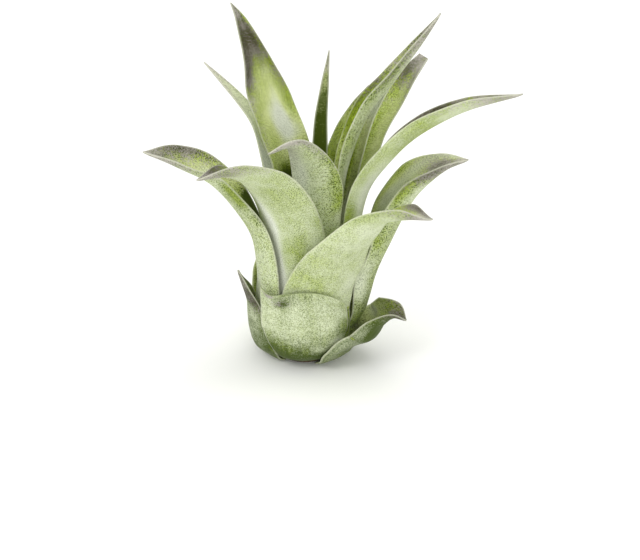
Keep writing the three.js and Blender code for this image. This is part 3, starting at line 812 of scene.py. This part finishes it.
            ("inside", "coat_and_light", 0.48, 0, 0.08, 0.3, 0.6),
            ("inside", "coat_and_light", 0.58, 0.5, 0.13, 0.3, -0.4),
            ("inside", "coat_and_light", 0.65, 0.5, 0.07, 0.3, -0.5),
            ("inside", "coat_and_light", 0.84, 0, 0.08, 2, 0.4),
            ("inside", "deep", 0.58, 0.5, 0.15, 0.3, 0.9),
        ],
    ),
    "steep_right": dict(
        coat_and_light=((0.5, 0.65, 0.85), (0.3, 0.3, 0.6)), deep=((0.4, 0.3, 0.3), (0.4, 0.3, 0.4)),
        dry=24, dark=(0.3, 0.3), freckled=1.15,
        patches=[
            ("outside", "coat_and_light", 0.51, -0.45, 0.05, 0.25, 0.7),
            ("outside", "coat_and_light", 0.52, 0.1, 0.06, 0.25, -0.5),
            ("outside", "coat_and_light", 0.57, -0.85, 0.06, 0.3, -0.3),
            ("outside", "coat_and_light", 0.76, 0, 0.07, 0.3, 0.3),
            ("outside", "coat_and_light", 0.77, -0.9, 0.09, 0.25, -0.3),
            ("outside", "coat_and_light", 0.82, -0.9, 0.07, 0.25, -0.3),
            ("outside", "coat_and_light", 0.87, -0.4, 0.06, 0.4, 0.3),
            ("outside", "deep", 0.52, 0.1, 0.06, 0.3, 0.6),
            ("outside", "deep", 0.8, -0.9, 0.1, 0.25, 0.3),
            ("inside", "coat_and_light", 0.55, 0.9, 0.04, 0.3, 0.4),
            ("inside", "coat_and_light", 0.64, 0.9, 0.05, 0.4, -0.3),
            ("inside", "coat_and_light", 0.68, 0.85, 0.1, 0.3, -0.35),
            ("inside", "coat_and_light", 0.82, 0.9, 0.05, 0.4, 0.3),
            ("inside", "dry", 0.74, 0.9, 0.04, 0.4, 0.4),
        ],
    ),
    "back_narrow": dict(
        coat_and_light=((0.7, 0.7, 0.7), (0.2, 0.2, 0.5)), deep=((0.2, 0.2, 0.2), (0.6, 0.4, 0.3)),
        dry=8, dark=(0.5, 0.5), freckled=1.6,
    ),
    "upright_heart": dict(
        # The bare, deepest green inner face is painted shade in the heart of the rosette.
        coat_and_light=((0.6, 0.6, 0.6), (-0.5, -0.4, 0.4)), deep=((0.2, 0.2, 0.2), (1.3, 1.3, 0.9)),
        dry=10, dark=(0.2, 0.1), freckled=1.3,
        patches=[
            ("inside", "coat_and_light", 0.93, 0, 0.06, 2, 0.4),
        ],
    ),
}
FOOT_MIDDLE_TIP = (0.25, 0.6, 1)  # the shares of a leaf's length where coat and deep are given
BLEACHED_TIP = 6  # the last of a dry tip has lost its brown again
PALE_MARGIN = 0.4
FACE_STEP = 40  # these two move the patterns on, so that no two faces share them
LEAF_STEP = 100

for number, leaf in enumerate(LEAVES):
    look = LOOKS[leaf["name"]]
    vertices, faces, is_inner, length, margin_distance = leaf_mesh(leaf, look, number)
    mesh = bpy.data.meshes.new("blade_" + leaf["name"])
    mesh.from_pydata((vertices * MM).tolist(), [], faces.tolist())
    mesh.materials.append(outer_skin)
    mesh.materials.append(inner_skin)
    mesh.polygons.foreach_set("material_index", is_inner)
    mesh.polygons.foreach_set("use_smooth", np.ones(len(faces), bool))
    level_rows = np.zeros(margin_distance.shape)
    share = length[:, None] / length[-1] + level_rows
    tip_distance = length[-1] - length[:, None] + level_rows
    dry_reach = look["dry"] * (1 + ACROSS**2 + look.get("lean", 0) * ACROSS)
    dry = np.clip(1 - tip_distance / dry_reach, 0, 1) if look["dry"] else level_rows
    bleached = np.exp(-((tip_distance / BLEACHED_TIP) ** 2))
    # rim is the pale margin, partly scale fringe and partly painted highlight
    rim = np.clip(1 - margin_distance / PALE_MARGIN, 0, 1)
    half_width = margin_distance[:, COLUMNS // 2][:, None]
    values = {"skin_place": [], "coat_and_light": [], "deep": [], "dry": [], "rim": [], "freckled": []}
    for side, face in ((1, "inside"), (0, "outside")):
        shift = side * FACE_STEP + number * LEAF_STEP
        place = [ACROSS * half_width, length[:, None] + level_rows, level_rows + shift]
        values["skin_place"].append(np.stack(place, axis=-1))
        skin = {
            "coat_and_light": np.interp(share, FOOT_MIDDLE_TIP, look["coat_and_light"][side]),
            "deep": np.interp(share, FOOT_MIDDLE_TIP, look["deep"][side]),
            "dry": dry,
            "rim": rim,
            "freckled": level_rows + look.get("freckled", 1),
        }
        for patch_face, what, *patch, amount in look.get("patches", ()):
            if patch_face == face:
                skin[what] = skin[what] + amount * around(length, *patch)
        lost = look["dark"][side] * np.clip(skin["dry"], 0, 1) * (1 - bleached)
        skin["coat_and_light"] = skin["coat_and_light"] * (1 - lost)
        for key, value in skin.items():
            values[key].append(value)
    for key, both_faces in values.items():
        flat = np.concatenate([face.reshape(-1) for face in both_faces]).astype(np.float32)
        is_place = key == "skin_place"
        stored = mesh.attributes.new(key, "FLOAT_VECTOR" if is_place else "FLOAT", "POINT")
        stored.data.foreach_set("vector" if is_place else "value", flat)
    mesh.validate()
    piece = bpy.data.objects.new("blade_" + leaf["name"], mesh)
    scene.collection.objects.link(piece)
    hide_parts("leaf_" + leaf["name"])
    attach(piece, "root")


# Stem: the short woody core that the leaf bases wrap round, cut flat at the foot. Its bark is dull,
# dry and brown, rough with the scars of shed leaves that ring it.
SCAR_SPACING = 1.2  # millimetres between two rings of scars
WAVE_PERIOD = 0.314  # the spacing of the wave pattern's own bands at scale 1
bark, bark_tree = new_material("dry_brown_stem_bark")
bark_place = add_node(bark_tree, "ShaderNodeTexCoord", {}, "Object")
scars = add_node(bark_tree, "ShaderNodeTexWave", {
    "Vector": bark_place, "Scale": WAVE_PERIOD / (SCAR_SPACING * MM), "Distortion": 3, "Detail": 3,
}, "Fac", bands_direction="Z")
bark_colour = add_node(bark_tree, "ShaderNodeMix", {0: scars, 6: "#4a3a28", 7: "#7c6a4e"}, **MIXING)
bark_bump = add_node(
    bark_tree, "ShaderNodeBump", {"Height": scars, "Strength": 0.5, "Distance": 0.3 * MM}
)
bark_shader = add_node(bark_tree, "ShaderNodeBsdfPrincipled", {
    "Base Color": bark_colour, "Roughness": 0.9, "Specular IOR Level": 0.2, "Normal": bark_bump,
})
add_node(bark_tree, "ShaderNodeOutputMaterial", {"Surface": bark_shader})
for stem_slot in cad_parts["stem"].material_slots:
    stem_slot.material = bark


# Stage: a sheet of pale studio paper, lit by a bright room and three large soft lamps.
paper, paper_tree = new_material("pale_studio_paper")
paper_shader = add_node(paper_tree, "ShaderNodeBsdfPrincipled", {
    "Base Color": "#f7f7f5", "Roughness": 0.9, "Specular IOR Level": 0.1,
})
add_node(paper_tree, "ShaderNodeOutputMaterial", {"Surface": paper_shader})
FLOOR_REACH = 3.0  # metres each way
floor_corners = [(x * FLOOR_REACH, y * FLOOR_REACH, 0) for x, y in ((-1, -1), (1, -1), (1, 1), (-1, 1))]
floor_mesh = bpy.data.meshes.new("floor")
floor_mesh.from_pydata(floor_corners, [], [(0, 1, 2, 3)])
floor_mesh.materials.append(paper)
floor = bpy.data.objects.new("floor", floor_mesh)
scene.collection.objects.link(floor)

world = bpy.data.worlds.new("bright_room")
world.use_nodes = True
background = world.node_tree.nodes["Background"]
background.inputs["Color"].default_value = (1, 1, 1, 1)
background.inputs["Strength"].default_value = 0.92
scene.world = world

LAMP_AIM = (0, 0, 0.04)  # low in the plant; places and sizes of lamps are in metres


def soft_lamp(name, place, size, power):
    lamp = bpy.data.lights.new(name, "AREA")
    lamp.shape = "DISK"
    lamp.size = size
    lamp.energy = power
    holder = bpy.data.objects.new(name, lamp)
    holder.location = place
    away = np.array(place) - np.array(LAMP_AIM)
    rise = math.atan2(math.hypot(away[0], away[1]), away[2])
    holder.rotation_euler = (rise, 0, math.atan2(away[0], -away[1]))
    scene.collection.objects.link(holder)


soft_lamp("window_lamp", (-0.7, -0.8, 1.0), 0.6, 4.6)
soft_lamp("front_lamp", (0.25, -1.25, 0.55), 0.5, 3.2)
soft_lamp("overhead_lamp", (0.2, 0.2, 1.3), 0.9, 4.4)

scene.view_settings.view_transform = "Standard"
